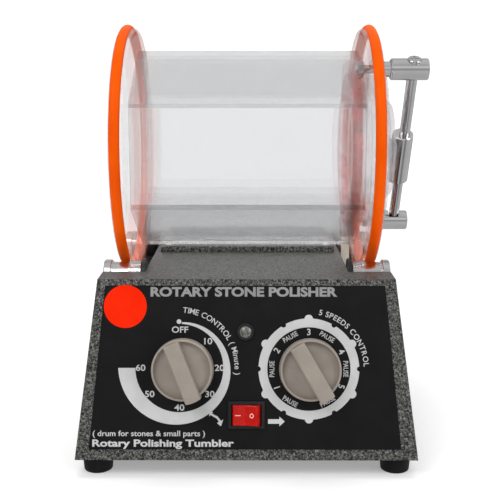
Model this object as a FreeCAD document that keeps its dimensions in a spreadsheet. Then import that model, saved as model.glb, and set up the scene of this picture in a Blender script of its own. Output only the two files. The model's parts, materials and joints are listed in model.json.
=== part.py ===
import FreeCAD, Part
import Sketcher
import math
import os
from FreeCAD import Vector, Placement, Rotation

# Small rotary drum tumbler for polishing stones and jewellery.
# A clear hexagonal drum between two round end discs rides on four grooved
# rollers set in a trapezoid sheet-metal base.  The base leans back at the
# front and carries a timer, a speed selector, a rocker switch and a lamp.
#
# Design frame: X along the drum axis (the clamp is at +X), Y towards the
# rear, Z up, ground at Z = 0, X = Y = 0 at the middle of the base.  Every
# sub-part is then moved by (origin_x, origin_y) so that the row origin is the
# bottom centre of the whole object's box.

doc = FreeCAD.newDocument("tumbler")
sheet = doc.addObject("Spreadsheet::Sheet", "dims")

VALUES = [
    # moves the design frame to the bottom centre of the overall box
    ("origin_x", -5.534), ("origin_y", 2.456),
    # base shell
    ("base_hw_bot", 98.5), ("base_hw_top", 86.3),
    ("base_hd_bot", 103.0), ("base_hd_top", 78.5),
    ("base_bot_z", 10.7), ("base_top_z", 111.5),
    ("sheet_thk", 1.4), ("side_thk", 1.5), ("floor_thk", 1.5),
    # roller bays
    ("bay_x", 61.0), ("bay_hl", 58.7), ("bay_floor_z", 76.4), ("liner_thk", 1.2),
    # raised deck cover
    ("deck_hw", 57.5), ("deck_front", 0.5), ("deck_back", 75.0), ("deck_rise", 4.0),
    # feet
    ("foot_x", 87.2), ("foot_y", 89.6), ("foot_r_bot", 8.3), ("foot_r_top", 9.1),
    # drum
    ("axis_z", 179.5), ("drum_x", 0.6),
    ("ring_rad", 75.5), ("ring_wire", 3.2), ("ring_off", 75.6),
    ("flange_rad", 76.0), ("flange_in", 70.0), ("flange_out", 79.4),
    ("hex_rad", 62.6), ("hex_wall", 4.5), ("mouth_rad", 49.5),
    # lid
    ("lid_rad", 58.5), ("lid_face", 83.6), ("plug_rad", 46.0), ("plug_in", 62.0),
    ("boss_rad", 31.0), ("boss_top", 91.1), ("pad_rad", 9.0), ("pad_top", 92.0),
    # clamp
    ("post_y", 29.6), ("post_z", 51.0), ("post_rad", 6.6),
    ("post_in", 86.0), ("post_out", 109.0), ("neck_rad", 4.7), ("stud_rad", 2.5),
    ("rod_x", 100.0), ("rod_rad", 3.3), ("cam_rad", 6.7), ("cam_len", 36.0),
    ("cam_off", 1.0), ("cam_mid", 5.6), ("cam_bore", 3.36),
    # rollers and shafts
    ("roller_y", 48.5), ("roller_z", 107.27), ("groove_rad", 8.0),
    ("flange_lip", 9.4), ("hub_rad", 8.6), ("shaft_rad", 2.5), ("bearing_rad", 10.1),
    # drive
    ("motor_y", 46.0), ("motor_z", 48.0), ("motor_rad", 24.0),
    ("belt_w", 5.8), ("belt_x", 66.1), ("belt_gap", 0.35),
    # panel controls (across the panel, and up it from its bottom edge)
    ("knob_u", 36.6), ("knob_v", 52.0), ("knob_rad", 17.9),
    ("rocker_v", 25.8), ("lamp_v", 73.4), ("lamp_u", -0.5),
    ("label_thk", 0.3), ("label_u", -0.8),
]
for row, (alias, value) in enumerate(VALUES, start=1):
    sheet.set("A%d" % row, alias)
    sheet.set("B%d" % row, repr(value))
    sheet.setAlias("B%d" % row, alias)
doc.recompute()


class Dim:
    """A number together with the spreadsheet expression that yields it."""

    def __init__(self, value, text, linked=True):
        self.value = float(value)
        self.text = text
        self.linked = linked

    def _mix(self, other, symbol, value, flip=False):
        other = dim(other)
        a, b = (other, self) if flip else (self, other)
        return Dim(value, "(%s %s %s)" % (a.text, symbol, b.text), a.linked or b.linked)

    def __add__(self, o):
        return self._mix(o, "+", self.value + dim(o).value)

    def __radd__(self, o):
        return self._mix(o, "+", self.value + dim(o).value, True)

    def __sub__(self, o):
        return self._mix(o, "-", self.value - dim(o).value)

    def __rsub__(self, o):
        return self._mix(o, "-", dim(o).value - self.value, True)

    def __mul__(self, o):
        return self._mix(o, "*", self.value * dim(o).value)

    def __rmul__(self, o):
        return self._mix(o, "*", self.value * dim(o).value, True)

    def __truediv__(self, o):
        return self._mix(o, "/", self.value / dim(o).value)

    def __rtruediv__(self, o):
        return self._mix(o, "/", dim(o).value / self.value, True)

    def __neg__(self):
        return Dim(-self.value, "(0 - %s)" % self.text, self.linked)


def dim(x):
    if isinstance(x, Dim):
        return x
    return Dim(float(x), "(%.6f)" % float(x), False)


class Names:
    pass


d = Names()
for alias, value in VALUES:
    setattr(d, alias, Dim(float(sheet.get(alias)), "dims." + alias))


def bind(obj, prop, x):
    """Sets a size and ties it to the sheet where it comes from there."""
    x = dim(x)
    setattr(obj, prop, x.value)
    if x.linked:
        obj.setExpression(prop, x.text)


def seat(obj, at=(0, 0, 0), rot=None):
    """Places an object; the coordinates stay tied to the sheet."""
    at = [dim(c) for c in at]
    obj.Placement = Placement(Vector(*[c.value for c in at]), rot or Rotation())
    for axis, c in zip("xyz", at):
        if c.linked:
            obj.setExpression("Placement.Base." + axis, c.text)
    return obj


ALONG_X = Rotation(Vector(0, 1, 0), 90)      # local Z -> +X
ALONG_NEG_Y = Rotation(Vector(1, 0, 0), 90)  # local Z -> -Y
_count = [0]


def uid(stem):
    _count[0] += 1
    return "%s_%03d" % (stem, _count[0])


def cyl(r, length, at=(0, 0, 0), rot=None):
    o = doc.addObject("Part::Cylinder", uid("cyl"))
    bind(o, "Radius", r)
    bind(o, "Height", length)
    return seat(o, at, rot)


def cone(r1, r2, length, at=(0, 0, 0), rot=None):
    o = doc.addObject("Part::Cone", uid("cone"))
    bind(o, "Radius1", r1)
    bind(o, "Radius2", r2)
    bind(o, "Height", length)
    return seat(o, at, rot)


def box(lx, ly, lz, at=(0, 0, 0), rot=None):
    o = doc.addObject("Part::Box", uid("box"))
    bind(o, "Length", lx)
    bind(o, "Width", ly)
    bind(o, "Height", lz)
    return seat(o, at, rot)


def slab(x0, x1, y0, y1, z0, z1):
    """A box given by its two ends on each axis."""
    x0, x1, y0, y1, z0, z1 = [dim(c) for c in (x0, x1, y0, y1, z0, z1)]
    return box(x1 - x0, y1 - y0, z1 - z0, (x0, y0, z0))


def torus(r1, r2, at=(0, 0, 0), rot=None):
    o = doc.addObject("Part::Torus", uid("torus"))
    bind(o, "Radius1", r1)
    bind(o, "Radius2", r2)
    return seat(o, at, rot)


def cut(base, tool):
    o = doc.addObject("Part::Cut", uid("cut"))
    o.Base = base
    o.Tool = tool
    return o


def fuse(*parts):
    if len(parts) == 1:
        return parts[0]
    o = doc.addObject("Part::MultiFuse", uid("fuse"))
    o.Shapes = list(parts)
    o.Refine = True
    return o


def common(*parts):
    o = doc.addObject("Part::MultiCommon", uid("common"))
    o.Shapes = list(parts)
    return o


def fillet(base, r, pick):
    """Rounds the edges that pick(edge) accepts."""
    doc.recompute()
    o = doc.addObject("Part::Fillet", uid("fillet"))
    o.Base = base
    edges = [(i + 1, float(r), float(r)) for i, e in enumerate(base.Shape.Edges) if pick(e)]
    if not edges:
        raise RuntimeError("no edges to round on " + base.Label)
    o.Edges = edges
    return o


def chamfer(base, r, pick):
    doc.recompute()
    o = doc.addObject("Part::Chamfer", uid("chamfer"))
    o.Base = base
    edges = [(i + 1, float(r), float(r)) for i, e in enumerate(base.Shape.Edges) if pick(e)]
    if not edges:
        raise RuntimeError("no edges to bevel on " + base.Label)
    o.Edges = edges
    return o


# ---- PartDesign helpers -------------------------------------------------

def plane_of(body, role):
    for f in body.Origin.OriginFeatures:
        if f.Role == role:
            return f
    raise RuntimeError(role)


def new_body(name):
    return doc.addObject("PartDesign::Body", "b_" + name)


def sketch(body, role, loops, offset=None):
    """A sketch on one of the body's own origin planes.  A loop is a list of
    (x, y) pairs, or ("circle", x, y, r)."""
    sk = body.newObject("Sketcher::SketchObject", uid("sk"))
    sk.AttachmentSupport = [(plane_of(body, role), "")]
    sk.MapMode = "FlatFace"
    if offset is not None:
        off = dim(offset)
        sk.AttachmentOffset = Placement(Vector(0, 0, off.value), Rotation())
        if off.linked:
            sk.setExpression("AttachmentOffset.Base.z", off.text)
    for loop in loops:
        if loop[0] == "circle":
            x, y, r = [dim(c) for c in loop[1:]]
            g = sk.addGeometry(Part.Circle(Vector(x.value, y.value, 0), Vector(0, 0, 1), r.value), False)
            n = sk.addConstraint(Sketcher.Constraint("Radius", g, r.value))
            if r.linked:
                sk.setExpression("Constraints[%d]" % n, r.text)
            for kind, c in (("DistanceX", x), ("DistanceY", y)):
                n = sk.addConstraint(Sketcher.Constraint(kind, -1, 1, g, 3, c.value))
                if c.linked:
                    sk.setExpression("Constraints[%d]" % n, c.text)
            continue
        pts = [(dim(a), dim(b)) for a, b in loop]
        n_pts = len(pts)
        first = None
        ids = []
        for i in range(n_pts):
            a, b = pts[i], pts[(i + 1) % n_pts]
            g = sk.addGeometry(Part.LineSegment(Vector(a[0].value, a[1].value, 0), Vector(b[0].value, b[1].value, 0)), False)
            ids.append(g)
        for i in range(n_pts):
            sk.addConstraint(Sketcher.Constraint("Coincident", ids[i], 2, ids[(i + 1) % n_pts], 1))
        for i in range(n_pts):
            for kind, c in (("DistanceX", pts[i][0]), ("DistanceY", pts[i][1])):
                n = sk.addConstraint(Sketcher.Constraint(kind, -1, 1, ids[i], 1, c.value))
                if c.linked:
                    sk.setExpression("Constraints[%d]" % n, c.text)
    return sk


def pad(body, sk, length, both=False, reverse=False):
    f = body.newObject("PartDesign::Pad", uid("pad"))
    f.Profile = sk
    bind(f, "Length", length)
    f.Midplane = both
    f.Reversed = reverse
    return f


def pocket(body, sk, length=None, both=False, reverse=False):
    doc.recompute()
    before = body.Shape.Volume
    f = body.newObject("PartDesign::Pocket", uid("pocket"))
    f.Profile = sk
    if length is None:
        f.Type = 1
    else:
        bind(f, "Length", length)
    f.Midplane = both
    f.Reversed = reverse
    doc.recompute()
    if not body.Shape.Volume < before - 1e-3:
        raise RuntimeError("pocket cuts nothing in " + body.Name)
    return f


def turned(name, profile, axis_role="X_Axis"):
    """A body of revolution about X from an (x, radius) profile."""
    body = new_body(name)
    sk = sketch(body, "XY_Plane", [profile])
    f = body.newObject("PartDesign::Revolution", uid("rev"))
    f.Profile = sk
    f.ReferenceAxis = (plane_of(body, axis_role), [""])
    f.Angle = 360.0
    return body


# ---- the list of finished sub-parts ------------------------------------

nodes = []
SHIFT = (d.origin_x, d.origin_y, dim(0))


def finish(obj, name, at=(0, 0, 0), rot=None):
    """Names a sub-part and gives it its place in the row frame."""
    obj.Label = name
    at = [dim(c) for c in at]
    seat(obj, (SHIFT[0] + at[0], SHIFT[1] + at[1], SHIFT[2] + at[2]), rot)
    nodes.append((name, obj))
    return obj


def group(name, parts):
    """Identical pieces that share one node, each still its own solid."""
    o = doc.addObject("Part::Compound", "g_" + name)
    o.Links = list(parts)
    return finish(o, name)


# slopes of the base's four walls
side_slope = (d.base_hw_bot - d.base_hw_top) / (d.base_top_z - d.base_bot_z)
front_slope = (d.base_hd_bot - d.base_hd_top) / (d.base_top_z - d.base_bot_z)
LEAN = math.degrees(math.atan(front_slope.value))
COS_L, SIN_L = math.cos(math.radians(LEAN)), math.sin(math.radians(LEAN))
ON_PANEL = Rotation(Vector(1, 0, 0), 90.0 - LEAN)           # local Z -> out of the front panel
ON_REAR = Rotation(Vector(0, 0, 1), 180) * ON_PANEL         # local Z -> out of the rear panel


def side_x(z, inset=0.0):
    """Half-width of the base at height z, less an inset."""
    return d.base_hw_bot - side_slope * (dim(z) - d.base_bot_z) - inset


def front_y(z, inset=0.0):
    """Half-depth of the base at height z, less an inset."""
    return d.base_hd_bot - front_slope * (dim(z) - d.base_bot_z) - inset


def panel(u, v, w=0.0):
    """Design-frame position of a point on the front panel."""
    u, v, w = dim(u), dim(v), dim(w)
    return (u, -d.base_hd_bot + v * SIN_L - w * COS_L, d.base_bot_z + v * COS_L + w * SIN_L)


# ========================= base ==========================================

# folded sheet: leaning front panel, top plate and rear panel in one piece
t_run = d.sheet_thk / COS_L
top_in = d.base_top_z - d.sheet_thk
lip_z = d.base_bot_z + d.floor_thk
b = new_body("housing_shell")
prof = [
    (-d.base_hd_bot, d.base_bot_z), (-d.base_hd_top, d.base_top_z),
    (d.base_hd_top, d.base_top_z), (d.base_hd_bot, d.base_bot_z),
    (d.base_hd_bot - t_run, d.base_bot_z), (front_y(lip_z, t_run), lip_z), (dim(78), lip_z),
    (dim(78), lip_z + d.sheet_thk), (front_y(lip_z + d.sheet_thk, t_run), lip_z + d.sheet_thk), (front_y(top_in, t_run), top_in),
    (-front_y(top_in, t_run), top_in), (-front_y(lip_z + d.sheet_thk, t_run), lip_z + d.sheet_thk), (dim(-78), lip_z + d.sheet_thk),
    (dim(-78), lip_z), (-front_y(lip_z, t_run), lip_z), (-d.base_hd_bot + t_run, d.base_bot_z),
]
pad(b, sketch(b, "YZ_Plane", [prof]), 2 * d.base_hw_bot, both=True)
for s in (1, -1):
    tri = [
        (s * (side_x(0, d.side_thk)), dim(0)), (s * dim(130), dim(0)), (s * dim(130), dim(140)),
        (s * (side_x(140, d.side_thk)), dim(140)),
    ]
    pocket(b, sketch(b, "XZ_Plane", [tri]), None, both=True)
# bays for the rollers, open through the top plate at both sides
for s in (1, -1):
    bay = [(s * d.bay_x, -d.bay_hl), (s * dim(110), -d.bay_hl), (s * dim(110), d.bay_hl), (s * d.bay_x, d.bay_hl)]
    pocket(b, sketch(b, "XY_Plane", [bay], offset=d.base_top_z + 1.0), 8.0)
# service opening under the deck cover
svc = [(dim(-44), dim(14)), (dim(44), dim(14)), (dim(44), dim(62)), (dim(-44), dim(62))]
pocket(b, sketch(b, "XY_Plane", [svc], offset=d.base_top_z + 1.0), 8.0)
doc.recompute()
shell = b

# holes of the front panel and vents of the rear panel
tools = []
for u in (-d.knob_u, d.knob_u):
    tools.append(cyl(4.6, 12, panel(u, d.knob_v, -6), ON_PANEL))
tools.append(cyl(3.95, 12, panel(d.lamp_u, d.lamp_v, -6), ON_PANEL))
tools.append(box(18.9, 12.9, 12, panel(-9.45, d.rocker_v - 6.45, -6), ON_PANEL))


def rear(u, v, w=0.0):
    """Design-frame position of a point on the rear panel (u runs towards -X)."""
    u, v, w = dim(u), dim(v), dim(w)
    return (-u, d.base_hd_bot - v * SIN_L + w * COS_L, d.base_bot_z + v * COS_L + w * SIN_L)


GLAND_U, GLAND_V = -62.0, 22.0
tools.append(cyl(6.4, 12, rear(GLAND_U, GLAND_V, -6), ON_REAR))
for k in range(7):
    v0 = 40.0 + 6.5 * k
    tools.append(fuse(
        box(44, 2.6, 12, rear(-22, v0, -6), ON_REAR),
        cyl(1.3, 12, rear(-22, v0 + 1.3, -6), ON_REAR),
        cyl(1.3, 12, rear(22, v0 + 1.3, -6), ON_REAR)))
# screw holes for the feet and for the deck cover
for sx in (1, -1):
    for sy in (1, -1):
        tools.append(cyl(1.8, 10, (sx * d.foot_x, sy * d.foot_y, dim(8))))
for sx in (1, -1):
    for sy in (1, -1):
        tools.append(cyl(1.3, 12, (sx * (d.deck_hw - 5.0), dim(37.75 + 31.0 * sy), d.base_top_z - 8)))
# ears folded in behind the side panels, which screw to them
SIDE_SCREWS = ((-84, 24), (84, 24), (-66, 94), (66, 94))
ears, ear_holes = [], []
SIDE_ANG = math.degrees(math.atan(side_slope.value))


def on_side(s):
    """Local Z -> out of the side panel on that side."""
    return Rotation(Vector(0, 1, 0), 90 - SIDE_ANG) if s > 0 else Rotation(Vector(0, 1, 0), -(90 - SIDE_ANG))


for s in (1, -1):
    nx, nz = s * math.cos(math.radians(SIDE_ANG)), math.sin(math.radians(SIDE_ANG))
    inner = d.side_thk * math.cos(math.radians(SIDE_ANG))
    for y, z in SIDE_SCREWS:
        q = 1 if y > 0 else -1
        edge = front_y(z + 7).value - 0.3
        cx = s * side_x(z)
        lo, hi = (dim(y - 6), dim(edge)) if q > 0 else (dim(-edge), dim(y + 6))
        # plate of the sheet's thickness just inside the side panel
        base_w = (cx - nx * (inner + d.sheet_thk), lo, dim(z) - nz * (inner + d.sheet_thk))
        shift = Rotation(Vector(0, 1, 0), 0)
        o = box(14, hi - lo, d.sheet_thk, base_w, on_side(s))
        o.setExpression("Placement.Base.x", None)
        o.setExpression("Placement.Base.z", None)
        v = on_side(s).multVec(Vector(-7, 0, 0))
        o.Placement = Placement(Vector(base_w[0].value + v.x, lo.value, base_w[2].value + v.z), on_side(s))
        ears.append(o)
        ear_holes.append(cyl(1.5, 16, (cx - 12 * nx, dim(y), dim(z) - 12 * nz), on_side(s)))
housing = cut(fuse(cut(shell, fuse(*tools)), *ears), fuse(*ear_holes))
finish(housing, "housing_shell")

# side panels: sloping trapezoid plates with a low cut for the rollers
for s, name in ((-1, "side_panel_left"), (1, "side_panel_right")):
    b = new_body(name)
    prof = [
        (s * side_x(d.base_bot_z), d.base_bot_z), (s * side_x(d.base_top_z), d.base_top_z),
        (s * side_x(d.base_top_z, d.side_thk), d.base_top_z), (s * side_x(d.base_bot_z, d.side_thk), d.base_bot_z),
    ]
    pad(b, sketch(b, "XZ_Plane", [prof]), 2 * d.base_hd_bot, both=True)
    for q in (1, -1):
        tri = [(q * front_y(0), dim(0)), (q * dim(130), dim(0)), (q * dim(130), dim(140)), (q * front_y(140), dim(140))]
        pocket(b, sketch(b, "YZ_Plane", [tri]), None, both=True)
    low = d.bay_floor_z
    saddle = [
        (-d.bay_hl, dim(130)), (-d.bay_hl, low + 10.0), (-d.bay_hl + 3.0, low + 3.0), (-d.bay_hl + 10.0, low),
        (d.bay_hl - 10.0, low), (d.bay_hl - 3.0, low + 3.0), (d.bay_hl, low + 10.0), (d.bay_hl, dim(130)),
    ]
    pocket(b, sketch(b, "YZ_Plane", [saddle]), None, both=True)
    doc.recompute()
    # screw holes near the lower corners and under the saddle
    nx, nz = s * math.cos(math.radians(SIDE_ANG)), math.sin(math.radians(SIDE_ANG))
    hole_list = [cyl(1.6, 12, (s * side_x(z) - 6 * nx, dim(y), dim(z) - 6 * nz), on_side(s)) for y, z in SIDE_SCREWS]
    finish(cut(b, fuse(*hole_list)), name)

# folded bay liners: floor, inner wall that carries the bearings, and end walls
for s, name in ((-1, "bay_liner_left"), (1, "bay_liner_right")):
    b = new_body(name)
    x_in = d.bay_x - 1.2
    zf = d.bay_floor_z - d.liner_thk
    prof = [
        (s * x_in, zf), (s * side_x(zf, d.side_thk), zf), (s * side_x(top_in, d.side_thk), top_in), (s * x_in, top_in),
    ]
    pad(b, sketch(b, "XZ_Plane", [prof]), 2 * (d.bay_hl + d.liner_thk), both=True)
    inner = [(s * (d.bay_x + 0.2), d.bay_floor_z), (s * dim(120), d.bay_floor_z), (s * dim(120), dim(130)), (s * (d.bay_x + 0.2), dim(130))]
    pocket(b, sketch(b, "XZ_Plane", [inner]), 2 * d.bay_hl, both=True)
    # open slots for the two shafts
    slots = []
    for q in (1, -1):
        slots.append([(q * d.roller_y - 3.4, d.roller_z - 3.4), (q * d.roller_y + 3.4, d.roller_z - 3.4),
                      (q * d.roller_y + 3.4, dim(130)), (q * d.roller_y - 3.4, dim(130))])
    pocket(b, sketch(b, "YZ_Plane", slots), None, both=True)
    if s > 0:
        # slot in the floor where the drive belt goes down to the motor
        run = [(d.belt_x - 1.2, dim(37.0)), (d.belt_x + d.belt_w + 1.2, dim(37.0)),
               (d.belt_x + d.belt_w + 1.2, d.bay_hl - 0.9), (d.belt_x - 1.2, d.bay_hl - 0.9)]
        pocket(b, sketch(b, "XY_Plane", [run], offset=d.bay_floor_z + 1.0), 6.0)
    finish(b, name)

# bottom plate with vent slots
b = new_body("bottom_plate")
zb = d.base_bot_z
wx, wy = side_x(zb + d.floor_thk, d.side_thk + 0.3), front_y(zb + d.floor_thk, t_run + 0.3)
pad(b, sketch(b, "XY_Plane", [[(-wx, -wy), (wx, -wy), (wx, wy), (-wx, wy)]], offset=zb), d.floor_thk)
vents = []
for k in range(6):
    y0 = 26.0 + 8.0 * k
    vents.append([(dim(-26), dim(y0)), (dim(26), dim(y0)), (dim(26), dim(y0 + 3.2)), (dim(-26), dim(y0 + 3.2))])
pocket(b, sketch(b, "XY_Plane", vents, offset=zb + 6.0), 12.0)
for sx in (1, -1):
    for sy in (1, -1):
        pocket(b, sketch(b, "XY_Plane", [("circle", sx * d.foot_x, sy * d.foot_y, 1.8)], offset=zb + 6.0), 12.0)
finish(b, "bottom_plate")

# raised cover over the service opening
b = new_body("deck_cover")
dw, y0, y1 = d.deck_hw, d.deck_front, d.deck_back
z0, z1 = d.base_top_z, d.base_top_z + d.deck_rise
pad(b, sketch(b, "XY_Plane", [[(-dw, y0), (dw, y0), (dw, y1), (-dw, y1)]], offset=z0), d.deck_rise)
pocket(b, sketch(b, "XY_Plane", [[(-dw + 1.2, y0 + 1.2), (dw - 1.2, y0 + 1.2), (dw - 1.2, y1 - 1.2), (-dw + 1.2, y1 - 1.2)]],
                 offset=z0 + 2.8), 6.0)
doc.recompute()
posts = [cyl(3.2, 2.8, (sx * (dw - 5.0), dim(37.75 + 31.0 * sy), z0)) for sx in (1, -1) for sy in (1, -1)]
holes = [cyl(1.35, 8, (sx * (dw - 5.0), dim(37.75 + 31.0 * sy), z0 - 1)) for sx in (1, -1) for sy in (1, -1)]
cover = fillet(b, 0.9, lambda e: abs(e.BoundBox.ZMin - z1.value) < 1e-4 and e.Length > 20
               and (abs(abs(e.CenterOfMass.x) - dw.value) < 0.01 or abs(e.CenterOfMass.y - y0.value) < 0.01 or abs(e.CenterOfMass.y - y1.value) < 0.01))
finish(cut(fuse(cover, *posts), fuse(*holes)), "deck_cover")

# screws of the deck cover: shallow pan heads
scr = []
for sx in (1, -1):
    for sy in (1, -1):
        x, y = sx * (dw - 5.0), dim(37.75 + 31.0 * sy)
        head = cone(2.5, 1.7, 0.9, (x, y, z1))
        scr.append(cut(fuse(head, cyl(1.25, 9, (x, y, z1 - 9))), fuse(box(3.0, 0.6, 0.6, (x - 1.5, y - 0.3, z1 + 0.5)), box(0.6, 3.0, 0.6, (x - 0.3, y - 1.5, z1 + 0.5)))))
group("deck_screws", scr)

# side screws: domed heads set square to the sloping panels
scr = []
for s in (-1, 1):
    lean_x = on_side(s)
    nx, nz = s * math.cos(math.radians(SIDE_ANG)), math.sin(math.radians(SIDE_ANG))
    for y, z in SIDE_SCREWS:
        cx = s * side_x(z)
        head = cone(3.0, 2.1, 1.4, (cx, dim(y), dim(z)), lean_x)
        stem = cyl(1.5, 8, (cx - 8 * nx, dim(y), dim(z) - 8 * nz), lean_x)
        slot_cut = box(0.7, 4.6, 0.9, (cx + 0.9 * nx, dim(y) - 2.3, dim(z) + 0.9 * nz - 0.35), lean_x)
        scr.append(cut(fuse(head, stem), slot_cut))
group("side_screws", scr)

# rubber feet and the screws through them
feet, fsc = [], []
for sx in (1, -1):
    for sy in (1, -1):
        x, y = sx * d.foot_x, sy * d.foot_y
        body_f = cone(d.foot_r_bot, d.foot_r_top, d.base_bot_z, (x, y, dim(0)))
        body_f = fillet(body_f, 0.9, lambda e: e.BoundBox.ZMax < 0.01)
        feet.append(cut(body_f, fuse(cyl(1.75, 20, (x, y, dim(-5))), cyl(4.2, 4.5, (x, y, dim(-0.5))))))
        fsc.append(fuse(cyl(3.6, 2.2, (x, y, dim(1.8))), cyl(1.75, d.base_bot_z + 1.8, (x, y, dim(4.0)))))
group("rubber_feet", feet)
group("foot_screws", fsc)

# printed front label
b = new_body("front_label")
lab = [(dim(-89.6), dim(6.2)), (dim(89.6), dim(6.2)), (dim(80.9), dim(100.0)), (dim(-80.9), dim(100.0))]
pad(b, sketch(b, "XY_Plane", [lab]), d.label_thk)
lu = -d.label_u
pocket(b, sketch(b, "XY_Plane", [("circle", lu - d.knob_u, d.knob_v, 5.2), ("circle", lu + d.knob_u, d.knob_v, 5.2),
                                 ("circle", lu + d.lamp_u, d.lamp_v, 4.05),
                                 [(lu - 9.6, d.rocker_v - 6.6), (lu + 9.6, d.rocker_v - 6.6), (lu + 9.6, d.rocker_v + 6.6), (lu - 9.6, d.rocker_v + 6.6)]],
                 offset=2.0), 6.0)
finish(b, "front_label", panel(d.label_u, 0, 0), ON_PANEL)

# round adhesive sticker on the label
b = new_body("round_sticker")
pad(b, sketch(b, "XY_Plane", [("circle", 0, 0, 12.4)]), 0.15)
finish(b, "round_sticker", panel(-69.9, 88.0, d.label_thk), ON_PANEL)

# indicator lamp: clear domed lens in a ring
b = new_body("lamp_ring")
sk = sketch(b, "XZ_Plane", [[(dim(3.3), dim(-9)), (dim(3.9), dim(-9)), (dim(3.9), d.label_thk), (dim(4.95), d.label_thk),
                             (dim(4.95), dim(1.3)), (dim(4.5), dim(1.8)), (dim(3.3), dim(1.8))]])
f = b.newObject("PartDesign::Revolution", uid("rev"))
f.Profile = sk
f.ReferenceAxis = (plane_of(b, "Z_Axis"), [""])
f.Angle = 360.0
finish(b, "lamp_ring", panel(d.lamp_u, d.lamp_v, 0), ON_PANEL)
lens = fuse(cyl(3.3, 10.0, (0, 0, -8.6)), common(cyl(3.3, 8, (0, 0, 1.4)), seat(doc.addObject("Part::Sphere", uid("ball")), (0, 0, -2.6))))
doc.getObject(lens.Shapes[1].Shapes[1].Name).Radius = 5.6
finish(lens, "lamp_lens", panel(d.lamp_u, d.lamp_v, 0), ON_PANEL)

# rocker switch: snap-in frame and a paddle that tilts about its mid line
ROCK_PIV = -1.5
frame = cut(box(21.2, 15.6, 2.0 - 0.3, (-10.6, -7.8, 0.3)), box(17.4, 12.2, 8, (-8.7, -6.1, -3)))
frame = chamfer(frame, 0.7, lambda e: e.BoundBox.ZMin > 1.99 and (e.Length > 20.9 or 15 < e.Length < 16))
rear_box = cut(box(18.7, 12.7, 20.3, (-9.35, -6.35, -20.0)), box(17.4, 12.2, 22, (-8.7, -6.1, -11.5)))
finish(fuse(frame, rear_box, *[box(0.8, 4.6, 7, (x, -2.3, -27)) for x in (-7.4, -0.4, 6.6)]), "rocker_frame", panel(0, d.rocker_v, 0), ON_PANEL)

b = new_body("rocker_paddle")
vee = [(dim(-8.6), dim(-6.5)), (dim(8.6), dim(-6.5)), (dim(8.6), dim(5.4)), (dim(0), dim(3.9)), (dim(-8.6), dim(5.4))]
pad(b, sketch(b, "XZ_Plane", [vee]), 11.7, both=True)
doc.recompute()
arc = common(b, cyl(8.45, 11.7, (dim(0), dim(5.85), dim(0)), ALONG_NEG_Y))
paddle = fillet(arc, 0.55, lambda e: e.BoundBox.ZMin > 3.0 and e.Length > 5)
# at rest the left end is pressed in
finish(paddle, "rocker_paddle", panel(0, d.rocker_v, ROCK_PIV), ON_PANEL * Rotation(Vector(0, 1, 0), -10))


def knob(name, sx, pointer):
    """Cup-shaped knob with a deep web across it; the web ends in a nose.
    The nose points along +Y of the local frame before turning."""
    cup = cone(d.knob_rad, d.knob_rad - 0.5, 8.3, (0, 0, 0.9))
    cup = fillet(cup, 0.9, lambda e: e.BoundBox.ZMin > 9.0)
    hollow = cut(cyl(d.knob_rad - 1.7, 12, (0, 0, 6.6)), box(9.4, 60, 20, (-4.7, -30, 0)))
    web = box(9.0, d.knob_rad * 2, 13.0, (dim(-4.5), -d.knob_rad + 2.0, dim(2.2)))
    web = chamfer(web, 0.7, lambda e: e.BoundBox.ZMin > 15.1)
    nose = cyl(d.knob_rad + 0.95, 20, (0, 0, 0))
    web = common(web, nose)
    solid = cut(fuse(cut(cup, hollow), web), cyl(3.0, 9.0, (0, 0, 0)))
    finish(solid, name, panel(sx * d.knob_u, d.knob_v, 0), ON_PANEL * Rotation(Vector(0, 0, 1), -pointer))


# pointer angles are clockwise from straight up, as read from the front
knob("timer_knob", -1, 158.0)
knob("speed_knob", 1, 150.0)
finish(cut(cyl(3.0, 23.9, (0, 0, -15.0)), box(8, 4, 9, (-4, 2.2, 1.0))), "timer_spindle", panel(-d.knob_u, d.knob_v, 0), ON_PANEL * Rotation(Vector(0, 0, 1), -158.0))
finish(cut(cyl(3.0, 23.9, (0, 0, -15.0)), box(8, 4, 9, (-4, 2.2, 1.0))), "speed_spindle", panel(d.knob_u, d.knob_v, 0), ON_PANEL * Rotation(Vector(0, 0, 1), -150.0))

# clockwork timer and rotary selector behind the panel
tcase = fuse(box(42, 42, 24, (-21, -21, -28.5)), box(46, 16, 1.2, (-23, -8, -2.6)), cyl(9, 3.1, (0, 0, -4.5)), cyl(4.4, 3.3, (0, 0, -3.1)))
tcase = cut(tcase, cyl(3.06, 18, (0, 0, -16)))
finish(tcase, "timer_unit", panel(-d.knob_u, d.knob_v, 0), ON_PANEL)
scase = fuse(cyl(16.5, 20, (0, 0, -23.4)), box(26, 26, 2.0, (-13, -13, -3.4)), cyl(4.4, 4.7, (0, 0, -4.5)),
             *[box(2.6, 0.8, 8, (13.0 * math.cos(a) - 1.3, 13.0 * math.sin(a) - 0.4, -31.0)) for a in [math.radians(15 + 60 * i) for i in range(6)]])
scase = cut(scase, cyl(3.06, 18, (0, 0, -16)))
finish(scase, "speed_switch", panel(d.knob_u, d.knob_v, 0), ON_PANEL)

# bushing where the supply cord enters
b = turned("cord_gland", [
    (dim(-9.0), dim(3.6)), (dim(6.0), dim(3.6)), (dim(6.0), dim(5.6)), (dim(3.0), dim(8.2)), (dim(0.0), dim(8.8)),
    (dim(0.0), dim(6.3)), (dim(-1.7), dim(6.3)), (dim(-1.7), dim(7.6)), (dim(-4.0), dim(7.2)), (dim(-9.0), dim(5.6))])
doc.recompute()
finish(b, "cord_gland", rear(GLAND_U, GLAND_V, 0), ON_REAR * Rotation(Vector(0, 1, 0), -90))

# ========================= rollers and drive =============================


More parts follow.
